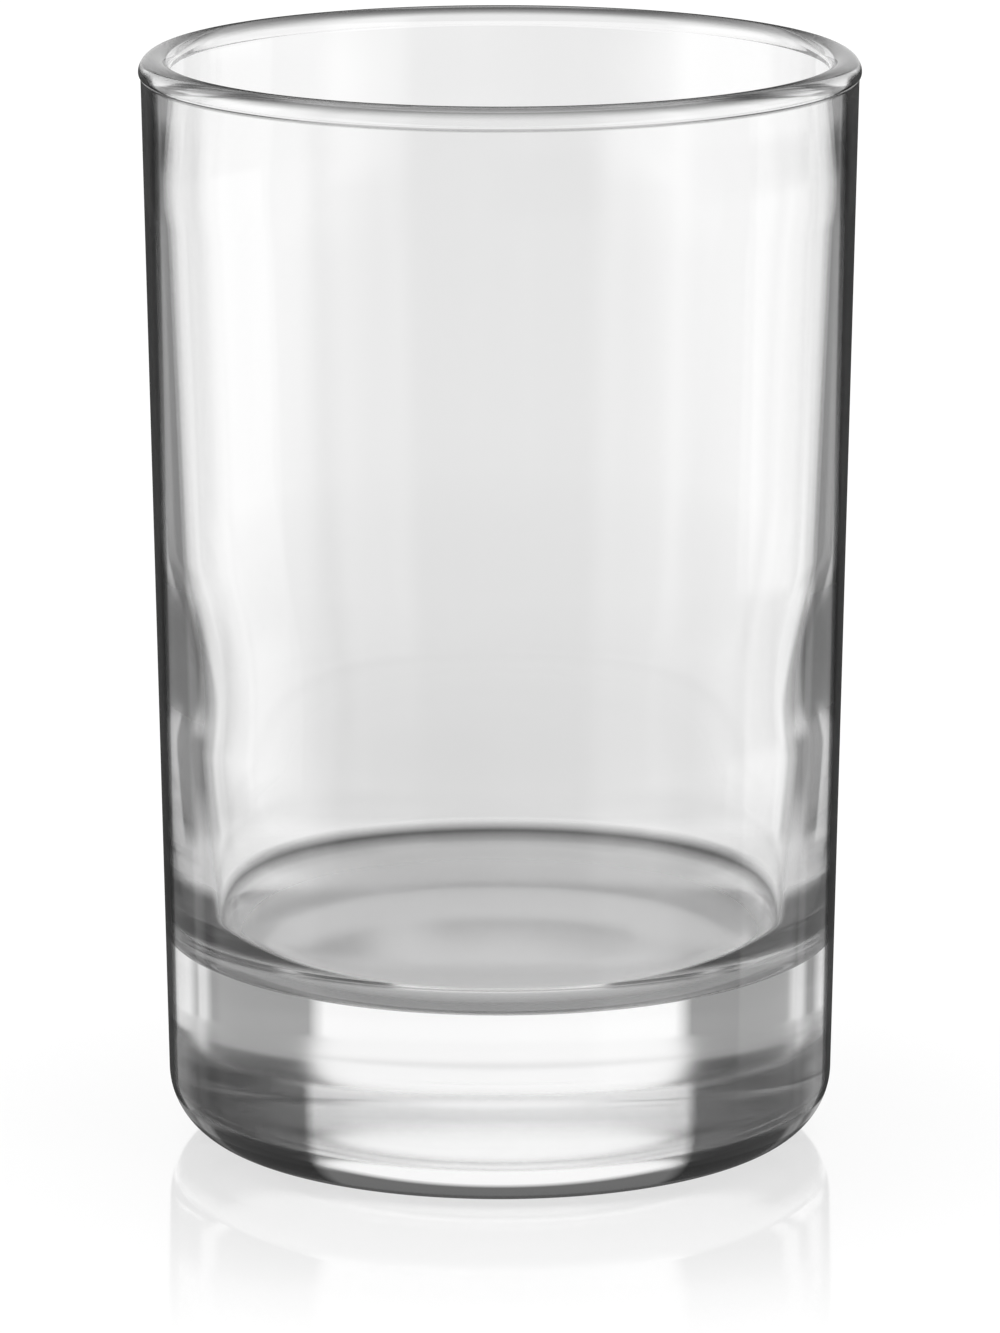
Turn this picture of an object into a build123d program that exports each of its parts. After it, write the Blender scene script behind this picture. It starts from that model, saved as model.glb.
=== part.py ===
"""Heavy-base juice glass: one continuous body of revolution, cut into its base, side wall and rim.

Frame: origin at the centre of the ring the glass stands on, +Z up along the glass's axis.
Millimetres and degrees.
"""

import math
import os

from build123d import *

# Driving dimensions, outside
height = 95.0  # table to the crest of the rim
rim_diameter = 62.0  # over the rounded bead
bead_overhang = 0.2  # how far the bead stands out beyond the wall, on the radius
wall_draw_in = 1.95  # how much the wall's radius shrinks from the bead down to the table
heel_radius = 5.95  # rounding between the wall and the standing ring
standing_ring_width = 1.6  # flat ring that touches the table
push_up = 1.0  # rise of the hollow underside at its centre

# Driving dimensions, rim bead
bead_thickness = 2.7  # across the rounded lip
neck_outside = 0.45  # from the lip's widest level down to the crease outside
neck_inside = 12.0  # from the lip's widest level down to where the inside has eased into the wall

# Driving dimensions, inside
wall_at_bead = 1.85  # wall thickness where the bead's inside ends
wall_above_swell = 2.3  # wall thickness where the inside starts to swell
wall_below_swell = 3.5  # wall thickness where the swell ends
wall_at_floor = 4.15  # wall thickness where the floor's rounding starts
swell_top = 53.0  # height where the inside starts to swell
swell_bottom = 36.5  # height where the swell ends
lean_at_floor = 5.5  # lean of the inside wall where the floor's rounding starts
floor_edge = 16.0  # height of the dished floor's edge above the table
floor_slope = 1.8  # slope of the dished floor at its edge
floor_fillet = 6.3  # rounding between the floor and the wall

# Sizes that follow from the ones above
bead_radius = bead_thickness / 2
bead_centre = height - bead_radius
bead_foot = bead_centre - neck_outside
inner_foot = bead_centre - neck_inside
lip_radius = rim_diameter / 2
wall_top_radius = lip_radius - bead_overhang
wall_lean = math.atan2(wall_draw_in, bead_foot)
inside_lean = math.radians(lean_at_floor)
edge_slope = math.radians(floor_slope)
fillet_centre = floor_edge + floor_fillet * math.cos(edge_slope)
wall_foot = fillet_centre - floor_fillet * math.sin(inside_lean)


def outer_radius(z):
    """Outside radius of the straight tapered wall at height z."""
    return wall_top_radius - math.tan(wall_lean) * (bead_foot - z)


def meridian(radius, z):
    """A point of the profile, in the half plane that is turned about the axis."""
    return (radius, 0, z)


def underside_and_heel():
    """Hollow underside, flat standing ring and rounded heel, from the axis out to the wall."""
    heel_centre_radius = outer_radius(heel_radius) - heel_radius / math.cos(wall_lean)
    ring_inner_radius = heel_centre_radius - standing_ring_width
    heel_top = meridian(
        heel_centre_radius + heel_radius * math.cos(wall_lean),
        heel_radius - heel_radius * math.sin(wall_lean),
    )
    ring_inner = meridian(ring_inner_radius, 0)
    ring_outer = meridian(heel_centre_radius, 0)
    hollow = TangentArc(meridian(0, push_up), ring_inner, tangent=(1, 0, 0))
    ring = Line(ring_inner, ring_outer)
    heel = TangentArc(ring_outer, heel_top, tangent=(1, 0, 0))
    return [hollow, ring, heel], heel_top


def rim_outline(inner_top, wall_direction):
    """Bead: a half-round lip that ends in a crease outside and eases into the wall inside."""
    outer_crease = meridian(wall_top_radius, bead_foot)
    lip_outer = meridian(lip_radius, bead_centre)
    lip_inner = meridian(lip_radius - bead_thickness, bead_centre)
    crest = meridian(lip_radius - bead_radius, height)
    outer_neck = TangentArc(lip_outer, outer_crease, tangent=(0, 0, -1))
    lip = ThreePointArc(lip_outer, crest, lip_inner)
    inner_neck = Spline(lip_inner, inner_top, tangents=((0, 0, -1), wall_direction))
    return [outer_neck, lip, inner_neck], outer_crease


def inside():
    """Inside of the wall with its swell, the rounded corner and the dished floor, without creases."""
    inner_top = meridian(outer_radius(inner_foot) - wall_at_bead, inner_foot)
    above = meridian(outer_radius(swell_top) - wall_above_swell, swell_top)
    below = meridian(outer_radius(swell_bottom) - wall_below_swell, swell_bottom)
    foot = meridian(outer_radius(wall_foot) - wall_at_floor, wall_foot)
    fillet_centre_radius = foot[0] - floor_fillet * math.cos(inside_lean)
    floor_radius = fillet_centre_radius + floor_fillet * math.sin(edge_slope)
    floor_centre = meridian(0, floor_edge - floor_radius * math.tan(edge_slope / 2))
    upper_wall = Line(inner_top, above)
    lower_wall = TangentArc(foot, below, tangent=(math.sin(inside_lean), 0, math.cos(inside_lean)))
    swell = Spline(below, above, tangents=(lower_wall % 1, -(upper_wall % 1)))
    floor = TangentArc(floor_centre, meridian(floor_radius, floor_edge), tangent=(1, 0, 0))
    fillet = TangentArc(floor @ 1, foot, tangent=floor % 1)
    return [upper_wall, swell, lower_wall, fillet, floor], inner_top, upper_wall % 0, floor_centre


def turned_glass():
    """The whole glass, turned from its half section."""
    bottom_edges, heel_top = underside_and_heel()
    inside_edges, inner_top, wall_direction, floor_centre = inside()
    rim_edges, outer_crease = rim_outline(inner_top, wall_direction)
    outside_wall = Line(heel_top, outer_crease)
    axis_edge = Line(meridian(0, push_up), floor_centre)
    section = make_face(bottom_edges + [outside_wall] + rim_edges + inside_edges + [axis_edge])
    return revolve(section, axis=Axis.Z)


def cut_at(body, z):
    """The parts of a body below and above height z."""
    plane = Plane.XY.offset(z)
    return split(body, plane, keep=Keep.BOTTOM), split(body, plane, keep=Keep.TOP)


glass = turned_glass()
heavy_base, above_base = cut_at(glass, wall_foot)
side_wall, rim_bead = cut_at(above_base, bead_foot)

os.makedirs("parts", exist_ok=True)
for name, piece in {
    "heavy_base": heavy_base,
    "side_wall": side_wall,
    "rim_bead": rim_bead,
}.items():
    export_step(piece, f"parts/{name}.step")
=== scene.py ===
"""Juice glass of clear pressed glass, on a pale floor in a plain studio.

Metres in the scene. The glass's own sizes are in millimetres, as in the part's source.
"""

import math
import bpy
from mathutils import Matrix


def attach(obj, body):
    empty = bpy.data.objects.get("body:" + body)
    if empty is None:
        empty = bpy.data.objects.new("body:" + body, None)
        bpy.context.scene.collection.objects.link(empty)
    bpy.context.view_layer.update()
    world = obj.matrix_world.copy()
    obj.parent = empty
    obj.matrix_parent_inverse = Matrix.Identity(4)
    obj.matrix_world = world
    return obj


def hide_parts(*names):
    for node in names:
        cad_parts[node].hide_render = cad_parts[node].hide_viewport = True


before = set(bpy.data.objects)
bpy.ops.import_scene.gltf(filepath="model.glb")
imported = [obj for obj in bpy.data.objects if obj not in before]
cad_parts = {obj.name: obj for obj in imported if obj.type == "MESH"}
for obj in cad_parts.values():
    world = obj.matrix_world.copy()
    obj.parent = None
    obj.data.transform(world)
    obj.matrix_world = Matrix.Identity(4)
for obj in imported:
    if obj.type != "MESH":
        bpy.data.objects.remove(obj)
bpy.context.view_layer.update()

from types import SimpleNamespace

import bpy

MM = 0.001

# The glass, outside
height = 95.0
rim_diameter = 62.0
bead_overhang = 0.2
wall_draw_in = 1.95
heel_radius = 5.95
standing_ring_width = 1.6
push_up = 1.0

# The glass, rim bead
bead_thickness = 2.7
neck_outside = 0.45
neck_inside = 12.0

# The glass, inside
wall_at_bead = 1.85
wall_above_swell = 2.3
wall_below_swell = 3.5
wall_at_floor = 4.15
swell_top = 53.0
swell_bottom = 36.5
lean_at_floor = math.radians(5.5)
floor_edge = 16.0
floor_slope = math.radians(1.8)
floor_fillet = 6.3

# Sizes that follow from the ones above
bead_centre = height - bead_thickness / 2
bead_foot = bead_centre - neck_outside
inner_foot = bead_centre - neck_inside
lip_radius = rim_diameter / 2
wall_top_radius = lip_radius - bead_overhang
wall_lean = math.atan2(wall_draw_in, bead_foot)
wall_foot = floor_edge + floor_fillet * (math.cos(floor_slope) - math.sin(lean_at_floor))

# Mesh: faces round the glass, and steps along each stretch of its section
turns = 304
underside_steps = 24
ring_steps = 4
heel_steps = 32
outer_wall_steps = 30
neck_steps = 8
lip_steps = 28
easing_steps = 40
upper_wall_steps = 20
swell_steps = 40
lower_wall_steps = 30
fillet_steps = 36
floor_steps = 24
crease_width = 0.12  # how far below the bead the wall's smooth shading starts, in millimetres

# Light turns many times inside the thick base
light_bounces = 48

# Glass
refraction = 1.52
smear_scale = 70.0
smear_roughness = 0.01
underside_roughness = 0.3
floor_roughness = 0.4
swell_roughness = 0.15
heel_roughness = 0.2
# Colour of the dark shader that is mixed into the glass as painted shade
painted_shade_colour = (0.03, 0.03, 0.03, 1)

# Painted shade on the glass, a dark shader mixed in by how the surface is looked at: facing, from 0 looked
# straight at to 1 looked along, and share of dark
wall_tones = ((0.0, 0.0), (0.71, 0.0), (0.735, 0.15), (0.752, 0.7), (0.775, 0.86), (0.8, 0.95))
heel_tones = ((0.0, 0.0), (0.38, 0.0), (0.46, 0.85))
rim_tones = ((0.0, 0.05), (0.1, 0.15), (0.2, 0.3), (0.33, 0.42), (0.5, 0.5), (0.68, 0.6), (0.75, 0.92))
block_tones = ((0.0, 0.0), (0.2, 0.0), (0.225, 0.76), (0.6, 0.7), (0.7, 0.4))
bowl_tones = ((0.0, 0.0), (0.23, 0.0), (0.243, 0.28), (0.34, 0.28), (0.36, 0.0))
corner_top_tones = ((0.0, 0.0), (0.235, 0.0), (0.255, 0.85), (1.0, 0.85))
corner_foot_tones = ((0.0, 0.0), (0.25, 0.0), (0.34, 0.25), (0.46, 0.5), (0.62, 0.45))
underside_tones = ((0.0, 0.0), (0.22, 0.0), (0.26, 0.25), (0.45, 0.25), (0.6, 0.0))
rim_end = (0.4, 0.85)  # round the side from here to there, the rim loses most of its painted shade
rim_end_share = 0.25
# Share of painted shade in a thin line at the crease under the bead
crease_share = 0.42
edge_widening = 1.0  # the wall's painted dark outline grows this much wider per metre of height
plain_width_level = 0.05  # height where the outline has its plain width

# Painted shade: a dark line round the bowl's corner; its heights, and place between them and share of dark
corner_line_foot = 0.0187
corner_line_rise = 0.0028
corner_line_tones = (
    (0.0, 0.0), (0.18, 0.1), (0.3, 0.33), (0.43, 0.55), (0.57, 0.83), (0.71, 0.48), (0.86, 0.2), (1.0, 0.0),
)

# Rise of the normal, -1 down to 1 up, where a zone starts to fade and where the fading ends
upright_rise = (0.25, 0.7)
heel_rise = (-0.4, -0.6)
rim_rise = (0.3, 0.75)

# Facing where a rough zone starts to fade and where the fading ends
matt_underside_facing = (0.5, 0.65)
matt_heel_facing = (0.12, 0.2)
soft_swell_facing = (0.25, 0.27)
smear_range = (0.4, 0.8)  # of the noise that makes the smears

# Ray depths that a ray's first hit, and its first hit inside the glass, stay below
first_hit_depth = 0.5
first_inside_depth = 1.5

# Heights and radii in metres where a zone of the glass starts to fade and where the fading ends
block_top = (0.0095, 0.0115)
swell_foot_fade = (0.038, 0.041)
swell_top_fade = (0.047, 0.052)
corner_middle = (0.019, 0.0198)
corner_top = (wall_foot * MM + 0.0015, wall_foot * MM + 0.0035)
bowl_floor = (floor_edge * MM - 0.00005, floor_edge * MM + 0.0001)
bowl_top = (0.088, 0.091)
low_heel_top = (0.0022, 0.003)
underside_edge = (0.0228, 0.0234)
soft_heel_top = (0.0055, 0.0065)
soft_floor_foot = (0.01, 0.012)
soft_floor_top = (0.016, 0.0205)
soft_floor_edge = (0.0245, 0.026)
crease_fade = (0.00006, 0.00024)
outside_depth = (-0.0004, -0.0002)  # measured outwards from the wall's outside
inside_depth = (-0.0009, -0.0007)

# Studio seen by the glass; angles in degrees, azimuth from +X towards +Y
# Each patch: centre, half width, softness and tone; the ground is the tone between the patches
panels = ((90, 23, 2, 1.0), (180, 22, 6, 1.0), (318, 11, 8, 1.0))
side_panel = (15, 14, 6, 1.0)  # seen only below the horizon
strips = ((36, 2, 3, 0.75), (144, 2, 3, 0.75))
front = (244, 18, 16, 0.06)  # the dark side, to the left behind the photograph's camera
beside = ((42, 8, 5, 1.0), (138, 8, 5, 1.0))  # two more panels, seen only on the floor
above_horizon = 0.06
below_horizon = 0.33
on_floor = 0.25
horizon_softness = 1.5
floor_horizon = (-22.0, -17.0)  # the far floor takes over from the walls between these elevations
overhead = (44, 52)  # a white ceiling takes over between these elevations
floor_tones = ((14, 1.0), (18, 1.0), (22, 0.95), (28, 0.8), (34, 0.57), (45, 0.3), (55, 0.15), (75, 0.18))

# Floor as the camera sees it
floor_size = 8
floor_gap = 0.00005  # how far the floor lies under the glass
floor_glow = 0.94
floor_colour = (0.17, 0.17, 0.17, 1)
polish_roughness = 0.08
polish_share = 0.3
polish_reach = (0.02, 0.085)  # distances from the axis where the reflection starts to fade and is gone
polish_facing = (0.58, 0.76)

# Floor seen through the glass, with the glass's shadow painted on it near the axis: distance from the axis
# in metres, and tone
near_floor_shadow = ((0.0, 0.58), (0.03, 0.58), (0.055, 0.52), (0.065, 0.55), (0.08, 0.75), (0.09, 0.8))
near_lit_floor = ((0.0, 0.58), (0.028, 0.58), (0.036, 0.75), (0.09, 0.85))
lit_floor = ((38, 17, 10, 1.0), (142, 17, 10, 1.0))  # sides where the floor is lit up to the glass
far_floor = (0.08, 0.095)
grazed_floor = (0.031, 0.035)
grazing_facing = (0.62, 0.74)
# Soft shade on the floor beside the glass: distance in metres, and how much it darkens
shade_depth = ((0.08, 0.0), (0.1, 0.22), (0.18, 0.15), (0.3, 0.1))
shade_directions = (90, 180, 135)
shade_width = (0.022, 0.055)

# Camera
sensor_width = 36
focal_length = 241.67
camera_place = (0, -0.75998, 0.20729)
camera_fall = 12.32  # how far the camera looks down, in degrees


def outer_radius(z):
    """Outside radius of the straight tapered wall at height z."""
    return wall_top_radius - math.tan(wall_lean) * (bead_foot - z)


def straight(start, end, steps):
    """Points after the start, up to the end."""
    return [
        (start[0] + (end[0] - start[0]) * i / steps, start[1] + (end[1] - start[1]) * i / steps)
        for i in range(1, steps + 1)
    ]


def tangent_arc(start, end, direction, steps):
    """Points of the arc that leaves the start in a direction and reaches the end, after the start."""
    across, up = end[0] - start[0], end[1] - start[1]
    chord = math.hypot(across, up)
    heading = math.atan2(direction[1], direction[0])
    half_turn = math.remainder(math.atan2(up, across) - heading, 2 * math.pi)
    points = []
    for i in range(1, steps + 1):
        part = i / steps
        reach = chord * math.sin(half_turn * part) / math.sin(half_turn)
        bearing = heading + half_turn * part
        points.append((start[0] + reach * math.cos(bearing), start[1] + reach * math.sin(bearing)))
    return points


def eased(start, leaving, end, arriving, steps):
    """Points of a smooth curve with the given directions at its ends, after the start."""
    chord = math.dist(start, end)
    first = [start[k] + leaving[k] * chord / 3 for k in (0, 1)]
    second = [end[k] - arriving[k] * chord / 3 for k in (0, 1)]
    points = []
    for i in range(1, steps + 1):
        t = i / steps
        weights = ((1 - t) ** 3, 3 * t * (1 - t) ** 2, 3 * t**2 * (1 - t), t**3)
        points.append(
            tuple(
                weights[0] * start[k] + weights[1] * first[k] + weights[2] * second[k] + weights[3] * end[k]
                for k in (0, 1)
            )
        )
    return points


def unit(start, end):
    """Direction from the start to the end."""
    length = math.dist(start, end)
    return ((end[0] - start[0]) / length, (end[1] - start[1]) / length)


def half_section():
    """The glass's profile as radius and height: underside, outside, rim and inside, from axis to axis."""
    heel_centre = outer_radius(heel_radius) - heel_radius / math.cos(wall_lean)
    heel_top = (
        heel_centre + heel_radius * math.cos(wall_lean),
        heel_radius - heel_radius * math.sin(wall_lean),
    )
    ring_inner = (heel_centre - standing_ring_width, 0)
    ring_outer = (heel_centre, 0)
    outer_crease = (wall_top_radius, bead_foot)
    below_crease = (outer_radius(bead_foot - crease_width), bead_foot - crease_width)
    lip_outer = (lip_radius, bead_centre)
    lip_inner = (lip_radius - bead_thickness, bead_centre)
    inner_top = (outer_radius(inner_foot) - wall_at_bead, inner_foot)
    above = (outer_radius(swell_top) - wall_above_swell, swell_top)
    below = (outer_radius(swell_bottom) - wall_below_swell, swell_bottom)
    foot = (outer_radius(wall_foot) - wall_at_floor, wall_foot)
    floor_radius = foot[0] - floor_fillet * (math.cos(lean_at_floor) - math.sin(floor_slope))
    floor_rim = (floor_radius, floor_edge)
    floor_centre = (0, floor_edge - floor_radius * math.tan(floor_slope / 2))

    up_wall = (math.sin(lean_at_floor), math.cos(lean_at_floor))
    off_floor = (math.cos(floor_slope), math.sin(floor_slope))
    lower_wall = tangent_arc(foot, below, up_wall, lower_wall_steps)
    fillet = tangent_arc(floor_rim, foot, off_floor, fillet_steps)
    floor = tangent_arc(floor_centre, floor_rim, (1, 0), floor_steps)
    outer_neck = tangent_arc(lip_outer, outer_crease, (0, -1), neck_steps)

    points = [(0, push_up)]
    points += tangent_arc(points[0], ring_inner, (1, 0), underside_steps)
    points += straight(ring_inner, ring_outer, ring_steps)
    points += tangent_arc(ring_outer, heel_top, (1, 0), heel_steps)
    points += [*straight(heel_top, below_crease, outer_wall_steps), outer_crease]
    points += [*reversed(outer_neck[:-1]), lip_outer]
    points += tangent_arc(lip_outer, lip_inner, (0, 1), lip_steps)
    points += eased(lip_inner, (0, -1), inner_top, unit(inner_top, above), easing_steps)
    points += straight(inner_top, above, upper_wall_steps)
    points += eased(above, unit(inner_top, above), below, unit(below, lower_wall[-2]), swell_steps)
    points += [*reversed(lower_wall[:-1]), foot]
    points += [*reversed(fillet[:-1]), floor_rim]
    points += [*reversed(floor[:-1]), floor_centre]
    return points


def turned(name, section):
    """A closed mesh turned about the axis from a half section that starts and ends on it."""
    inner = section[1:-1]
    vertices = [(0, 0, section[0][1] * MM)]
    for radius, z in inner:
        for k in range(turns):
            angle = 2 * math.pi * k / turns
            vertices.append((radius * MM * math.cos(angle), radius * MM * math.sin(angle), z * MM))
    vertices.append((0, 0, section[-1][1] * MM))
    last = len(vertices) - 1

    def at(ring, k):
        return 1 + ring * turns + k % turns

    faces = []
    for k in range(turns):
        faces.append((0, at(0, k + 1), at(0, k)))
        for ring in range(len(inner) - 1):
            faces.append((at(ring, k), at(ring, k + 1), at(ring + 1, k + 1), at(ring + 1, k)))
        faces.append((at(len(inner) - 1, k), at(len(inner) - 1, k + 1), last))
    mesh = bpy.data.meshes.new(name)
    mesh.from_pydata(vertices, [], faces)
    mesh.polygons.foreach_set("use_smooth", [True] * len(mesh.polygons))
    piece = bpy.data.objects.new(name, mesh)
    bpy.context.scene.collection.objects.link(piece)
    return piece


class Nodes:
    """Short ways to add and link the nodes of one tree."""

    def __init__(self, tree):
        self.tree = tree
        tree.nodes.clear()

    def add(self, kind, **settings):
        node = self.tree.nodes.new(kind)
        for name, value in settings.items():
            setattr(node, name, value)
        return node

    def put(self, socket, value):
        if isinstance(value, bpy.types.NodeSocket):
            self.tree.links.new(value, socket)
        else:
            socket.default_value = value

    def maths(self, operation, first, second=0.0):
        node = self.add("ShaderNodeMath", operation=operation)
        self.put(node.inputs[0], first)
        self.put(node.inputs[1], second)
        return node.outputs[0]

    def times(self, first, *others):
        """Product of numbers."""
        for other in others:
            first = self.maths("MULTIPLY", first, other)
        return first

    def largest(self, first, *others):
        """Largest of some numbers."""
        for other in others:
            first = self.maths("MAXIMUM", first, other)
        return first

    def between(self, value, limits, low=0.0, high=1.0):
        """Value eased from low at the first limit to high at the second."""
        node = self.add("ShaderNodeMapRange", interpolation_type="SMOOTHSTEP")
        self.put(node.inputs["Value"], value)
        start, end = limits
        for name, number in (("From Min", start), ("From Max", end), ("To Min", low), ("To Max", high)):
            node.inputs[name].default_value = number
        return node.outputs[0]

    def until(self, value, limits):
        """1 before the first limit, eased down to 0 at the second."""
        return self.between(value, limits, 1.0, 0.0)

    def blend(self, share, first, second):
        """Number between the first and the second."""
        node = self.add("ShaderNodeMix", data_type="FLOAT")
        self.put(node.inputs[0], share)
        self.put(node.inputs[2], first)
        self.put(node.inputs[3], second)
        return node.outputs[0]

    def tones(self, value, stops):
        """Grey that follows the stops, each a place from 0 to 1 and a tone."""
        node = self.add("ShaderNodeValToRGB")
        elements = node.color_ramp.elements
        while len(elements) < len(stops):
            elements.new(1.0)
        for element, (place, tone) in zip(elements, stops):
            element.position = place
            element.color = (tone, tone, tone, 1)
        self.put(node.inputs[0], value)
        return node.outputs[0]

    def tones_by_distance(self, value, stops):
        """Tone that follows the stops, each a distance and a tone."""
        reach = stops[-1][0]
        part = self.maths("DIVIDE", value, reach)
        return self.tones(part, [(place / reach, tone) for place, tone in stops])

    def tones_by_turn(self, turn, ground, patches):
        """Tone round the circle, with patches on a ground."""
        stops = []
        for centre, half, soft, tone in sorted(patches):
            stops.append(((centre - half - soft) / 360, ground))
            stops.append(((centre - half) / 360, tone))
            stops.append(((centre + half) / 360, tone))
            stops.append(((centre + half + soft) / 360, ground))
        return self.tones(turn, stops)

    def parts(self, vector):
        """The x, y and z of a vector."""
        node = self.add("ShaderNodeSeparateXYZ")
        self.put(node.inputs[0], vector)
        return node.outputs

    def distance(self, x, y):
        """Distance of a place from the axis."""
        return self.maths("SQRT", self.maths("ADD", self.times(x, x), self.times(y, y)))

    def turn(self, x, y):
        """Azimuth of a place or direction, from 0 to 1 for the whole circle from +X towards +Y."""
        part = self.maths("MULTIPLY", self.maths("ARCTAN2", y, x), 1 / (2 * math.pi))
        return self.maths("FRACT", self.maths("ADD", part, 1.0))

    def facing(self, normal=None):
        """0 where a surface is looked straight at, 1 where it is looked along."""
        node = self.add("ShaderNodeLayerWeight")
        if normal is not None:
            self.put(node.inputs["Normal"], normal)
        return node.outputs["Facing"]

    def light_path(self, name):
        """A fact about the ray that is being followed."""
        return self.add("ShaderNodeLightPath").outputs[name]

    def either(self, share, first, second):
        """Shader mixed from two."""
        node = self.add("ShaderNodeMixShader")
        self.put(node.inputs[0], share)
        self.put(node.inputs[1], first)
        self.put(node.inputs[2], second)
        return node.outputs[0]


def glass_places(nodes):
    """Where on the glass a ray has arrived, and how."""
    at = SimpleNamespace()
    geometry = nodes.add("ShaderNodeNewGeometry")
    at.from_within = geometry.outputs["Backfacing"]
    at.rise = nodes.parts(geometry.outputs["Normal"])[2]
    x, y, at.z = nodes.parts(geometry.outputs["Position"])
    at.radius = nodes.distance(x, y)
    at.facing = nodes.facing()
    outward = nodes.add("ShaderNodeCombineXYZ")
    nodes.put(outward.inputs["X"], nodes.maths("DIVIDE", x, at.radius))
    nodes.put(outward.inputs["Y"], nodes.maths("DIVIDE", y, at.radius))
    at.round_facing = nodes.facing(outward.outputs[0])
    at.depth = nodes.light_path("Ray Depth")

    wall_radius = nodes.maths("ADD", nodes.times(at.z, math.tan(wall_lean)), outer_radius(0) * MM)
    from_wall = nodes.maths("SUBTRACT", at.radius, wall_radius)
    at.outside = nodes.between(from_wall, outside_depth)
    at.bowl = nodes.times(
        nodes.until(from_wall, inside_depth), nodes.between(at.z, bowl_floor), nodes.until(at.z, bowl_top)
    )
    at.swell = nodes.times(nodes.between(at.z, swell_foot_fade), nodes.until(at.z, swell_top_fade))
    at.low_heel = nodes.until(at.z, low_heel_top)
    at.underside = nodes.times(at.low_heel, nodes.until(at.radius, underside_edge))
    return at


def painted_shade_from_outside(nodes, at):
    """Share of painted shade for light that arrives from the air: dark outlines on the wall, heel and rim,
    a line at the crease, dark blocks in the base and a line round the bowl's corner.
    """
    upright = nodes.until(nodes.maths("ABSOLUTE", at.rise), upright_rise)
    higher = nodes.maths("SUBTRACT", at.z, plain_width_level)
    widened = nodes.maths("ADD", at.facing, nodes.times(higher, edge_widening))
    wall = nodes.times(upright, at.outside, nodes.tones(widened, wall_tones))
    heel = nodes.times(nodes.between(at.rise, heel_rise), nodes.tones(at.facing, heel_tones))
    on_rim = nodes.between(at.z, (bead_foot * MM, bead_centre * MM))
    rim = nodes.times(on_rim, nodes.between(at.rise, rim_rise), nodes.tones(at.facing, rim_tones))
    rim = nodes.times(rim, nodes.between(at.round_facing, rim_end, 1.0, rim_end_share))
    from_crease = nodes.maths("ABSOLUTE", nodes.maths("SUBTRACT", at.z, bead_foot * MM))
    crease = nodes.times(nodes.between(from_crease, crease_fade, crease_share, 0.0), at.outside)
    block = nodes.times(nodes.until(at.z, block_top), nodes.tones(at.round_facing, block_tones))
    first_hit = nodes.maths("LESS_THAN", at.depth, first_hit_depth)
    first_share = nodes.times(first_hit, nodes.largest(crease, block))
    up_corner = nodes.maths("DIVIDE", nodes.maths("SUBTRACT", at.z, corner_line_foot), corner_line_rise)
    corner_line = nodes.times(at.bowl, nodes.tones(up_corner, corner_line_tones))
    return nodes.largest(wall, heel, rim, first_share, corner_line)


def painted_shade_from_within(nodes, at):
    """Share of painted shade for light that arrives inside the glass: in the bowl, its corner and on the
    underside.
    """
    bowl = nodes.times(nodes.tones(at.facing, bowl_tones), nodes.maths("ADD", at.swell, 1.0))
    upper_corner = nodes.tones(at.facing, corner_top_tones)
    lower_corner = nodes.tones(at.facing, corner_foot_tones)
    corner = nodes.blend(nodes.between(at.z, corner_middle), lower_corner, upper_corner)
    inner = nodes.blend(nodes.between(at.z, corner_top), corner, bowl)
    first_inside = nodes.maths("LESS_THAN", at.depth, first_inside_depth)
    underside = nodes.times(at.underside, nodes.tones(at.facing, underside_tones))
    return nodes.largest(nodes.times(at.bowl, first_inside, inner), underside)


def glass_roughness(nodes, at):
    """Faint smears all over, a matt underside and heel, and a soft floor and swell in the bowl."""
    cloud = nodes.add("ShaderNodeTexNoise")
    cloud.inputs["Scale"].default_value = smear_scale
    nodes.put(cloud.inputs["Vector"], nodes.add("ShaderNodeTexCoord").outputs["Object"])
    smears = nodes.between(cloud.outputs[0], smear_range, 0.0, smear_roughness)
    underside_matt = nodes.between(at.facing, matt_underside_facing, underside_roughness, 0.0)
    matt_underside = nodes.times(at.underside, underside_matt)
    heel_matt = nodes.between(at.facing, matt_heel_facing, underside_roughness, 0.0)
    matt_heel = nodes.times(at.low_heel, heel_matt)
    soft_heel = nodes.between(at.z, soft_heel_top, heel_roughness, 0.0)
    soft_swell = nodes.times(at.swell, nodes.between(at.facing, soft_swell_facing, 0.0, swell_roughness))
    within = nodes.times(nodes.largest(matt_underside, matt_heel, soft_heel, soft_swell), at.from_within)
    bowl_floor_zone = nodes.times(
        nodes.until(at.z, soft_floor_top),
        nodes.between(at.z, soft_floor_foot),
        nodes.until(at.radius, soft_floor_edge),
    )
    soft_floor = nodes.times(bowl_floor_zone, nodes.blend(at.from_within, floor_roughness, 0.0))
    return nodes.maths("ADD", smears, nodes.largest(within, soft_floor))


def clear_glass():
    """Clear glass with painted shade, a dark shader mixed in where it is looked along, with a matt
    underside and a soft bowl.
    """
    material = bpy.data.materials.new("clear_glass")
    material.use_nodes = True
    nodes = Nodes(material.node_tree)
    output = nodes.add("ShaderNodeOutputMaterial")
    at = glass_places(nodes)
    clear = nodes.add("ShaderNodeBsdfPrincipled")
    clear.inputs["Base Color"].default_value = (1, 1, 1, 1)
    clear.inputs["IOR"].default_value = refraction
    clear.inputs["Transmission Weight"].default_value = 1.0
    nodes.put(clear.inputs["Roughness"], glass_roughness(nodes, at))
    # Dark shader mixed into the clear glass as painted shade
    dark = nodes.add("ShaderNodeBsdfPrincipled")
    dark.inputs["Base Color"].default_value = painted_shade_colour
    dark.inputs["Roughness"].default_value = 1.0
    dark.inputs["Specular IOR Level"].default_value = 0.0
    share = nodes.blend(at.from_within, painted_shade_from_outside(nodes, at), painted_shade_from_within(nodes, at))
    nodes.put(output.inputs["Surface"], nodes.either(share, clear.outputs[0], dark.outputs[0]))
    return material


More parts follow.
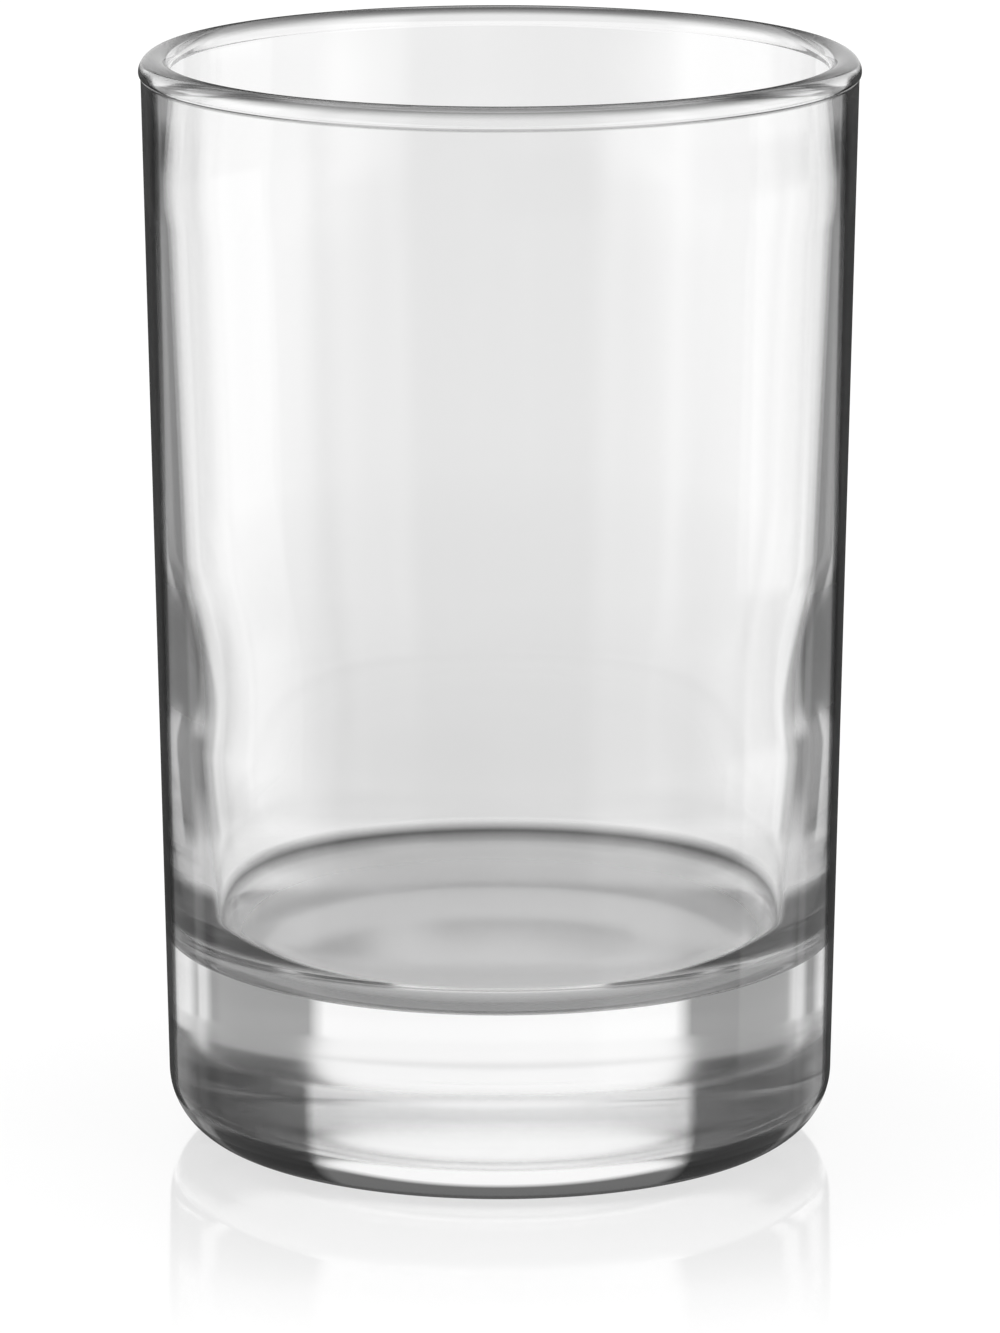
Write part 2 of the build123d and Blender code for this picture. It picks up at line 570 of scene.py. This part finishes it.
def floor_for_camera(nodes, away, floor_facing):
    """White floor with the glass's shadow and, near the glass, a faint reflection."""
    white = nodes.add("ShaderNodeEmission")
    white.inputs["Strength"].default_value = floor_glow
    shaded = nodes.add("ShaderNodeBsdfDiffuse")
    shaded.inputs["Color"].default_value = floor_colour
    plain = nodes.add("ShaderNodeAddShader")
    nodes.put(plain.inputs[0], white.outputs[0])
    nodes.put(plain.inputs[1], shaded.outputs[0])
    polish = nodes.add("ShaderNodeBsdfGlossy")
    polish.inputs["Roughness"].default_value = polish_roughness
    reflection = nodes.between(away, polish_reach, polish_share, 0.0)
    reflection = nodes.times(reflection, nodes.between(floor_facing, polish_facing))
    return nodes.either(reflection, plain.outputs[0], polish.outputs[0])


def floor_for_glass(nodes, x, y, away, floor_facing):
    """Floor near the glass painted grey with the glass's shadow, lighter on the lit sides; farther off it
    lets the studio through, with a soft painted shade.
    """
    near = nodes.add("ShaderNodeEmission")
    lit = nodes.tones_by_turn(nodes.turn(x, y), 0.0, lit_floor)
    shaded_tone = nodes.tones_by_distance(away, near_floor_shadow)
    lit_tone = nodes.tones_by_distance(away, near_lit_floor)
    nodes.put(near.inputs["Strength"], nodes.blend(lit, shaded_tone, lit_tone))
    beside_line = None
    for degrees in shade_directions:
        across = nodes.times(x, math.sin(math.radians(degrees)))
        along = nodes.times(y, math.cos(math.radians(degrees)))
        sideways = nodes.maths("ABSOLUTE", nodes.maths("SUBTRACT", across, along))
        beside_line = sideways if beside_line is None else nodes.maths("MINIMUM", beside_line, sideways)
    darker = nodes.times(nodes.until(beside_line, shade_width), nodes.tones_by_distance(away, shade_depth))
    open_floor = nodes.add("ShaderNodeBsdfTransparent")
    nodes.put(open_floor.inputs["Color"], nodes.maths("SUBTRACT", 1.0, darker))
    grazed = nodes.times(nodes.between(away, grazed_floor), nodes.between(floor_facing, grazing_facing))
    hidden = nodes.largest(nodes.between(away, far_floor), grazed)
    return nodes.either(hidden, near.outputs[0], open_floor.outputs[0])


def pale_floor_material():
    """Floor that is white for the camera and shaded for the glass."""
    material = bpy.data.materials.new("pale_floor")
    material.use_nodes = True
    nodes = Nodes(material.node_tree)
    output = nodes.add("ShaderNodeOutputMaterial")
    x, y, _ = nodes.parts(nodes.add("ShaderNodeNewGeometry").outputs["Position"])
    away = nodes.distance(x, y)
    floor_facing = nodes.facing()
    seen = floor_for_camera(nodes, away, floor_facing)
    through = floor_for_glass(nodes, x, y, away, floor_facing)
    nodes.put(output.inputs["Surface"], nodes.either(nodes.light_path("Is Camera Ray"), through, seen))
    return material


def studio():
    """White for the camera; for the glass, white panels, dark gaps, a white ceiling and a pale floor."""
    world = bpy.data.worlds.new("studio")
    bpy.context.scene.world = world
    world.use_nodes = True
    nodes = Nodes(world.node_tree)
    output = nodes.add("ShaderNodeOutputWorld")
    x, y, z = nodes.parts(nodes.add("ShaderNodeTexCoord").outputs["Generated"])
    turn = nodes.turn(x, y)
    rise = nodes.times(nodes.maths("ARCSINE", z), 180 / math.pi)
    above = nodes.tones_by_turn(turn, above_horizon, panels + strips + (front,))
    below = nodes.tones_by_turn(turn, below_horizon, panels + strips + (side_panel, front))
    low = nodes.tones_by_turn(turn, on_floor, panels + beside + (front,))
    walls = nodes.blend(nodes.between(rise, (-horizon_softness, horizon_softness)), below, above)
    walls = nodes.blend(nodes.between(rise, overhead), walls, 1.0)
    fall = nodes.maths("DIVIDE", rise, -90.0)
    deep = nodes.times(low, nodes.tones(fall, [(degrees / 90, tone) for degrees, tone in floor_tones]))
    surroundings = nodes.add("ShaderNodeBackground")
    surroundings.inputs["Color"].default_value = (1, 1, 1, 1)
    nodes.put(surroundings.inputs["Strength"], nodes.blend(nodes.between(rise, floor_horizon), deep, walls))
    backdrop = nodes.add("ShaderNodeBackground")
    backdrop.inputs["Color"].default_value = (1, 1, 1, 1)
    camera_ray = nodes.light_path("Is Camera Ray")
    mixed = nodes.either(camera_ray, surroundings.outputs[0], backdrop.outputs[0])
    nodes.put(output.inputs["Surface"], mixed)


def studio_floor():
    """Wide flat floor just under the glass."""
    bpy.ops.mesh.primitive_plane_add(size=floor_size, location=(0, 0, -floor_gap))
    floor = bpy.context.object
    floor.name = "studio_floor"
    floor.data.materials.append(pale_floor_material())


def photograph_camera():
    """Camera at the photograph's distance, height and angle."""
    lens = bpy.data.cameras.new("camera")
    lens.sensor_width = sensor_width
    lens.lens = focal_length
    camera = bpy.data.objects.new("camera", lens)
    camera.location = camera_place
    camera.rotation_euler = (math.radians(90 - camera_fall), 0, 0)
    bpy.context.scene.collection.objects.link(camera)
    bpy.context.scene.camera = camera


glass = turned("juice_glass", half_section())
glass.data.materials.append(clear_glass())
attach(glass, "root")
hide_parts("heavy_base", "side_wall", "rim_bead")

studio_floor()
studio()
photograph_camera()

scene = bpy.context.scene
scene.view_settings.view_transform = "Standard"
scene.cycles.max_bounces = light_bounces
scene.cycles.transmission_bounces = light_bounces
scene.cycles.glossy_bounces = light_bounces
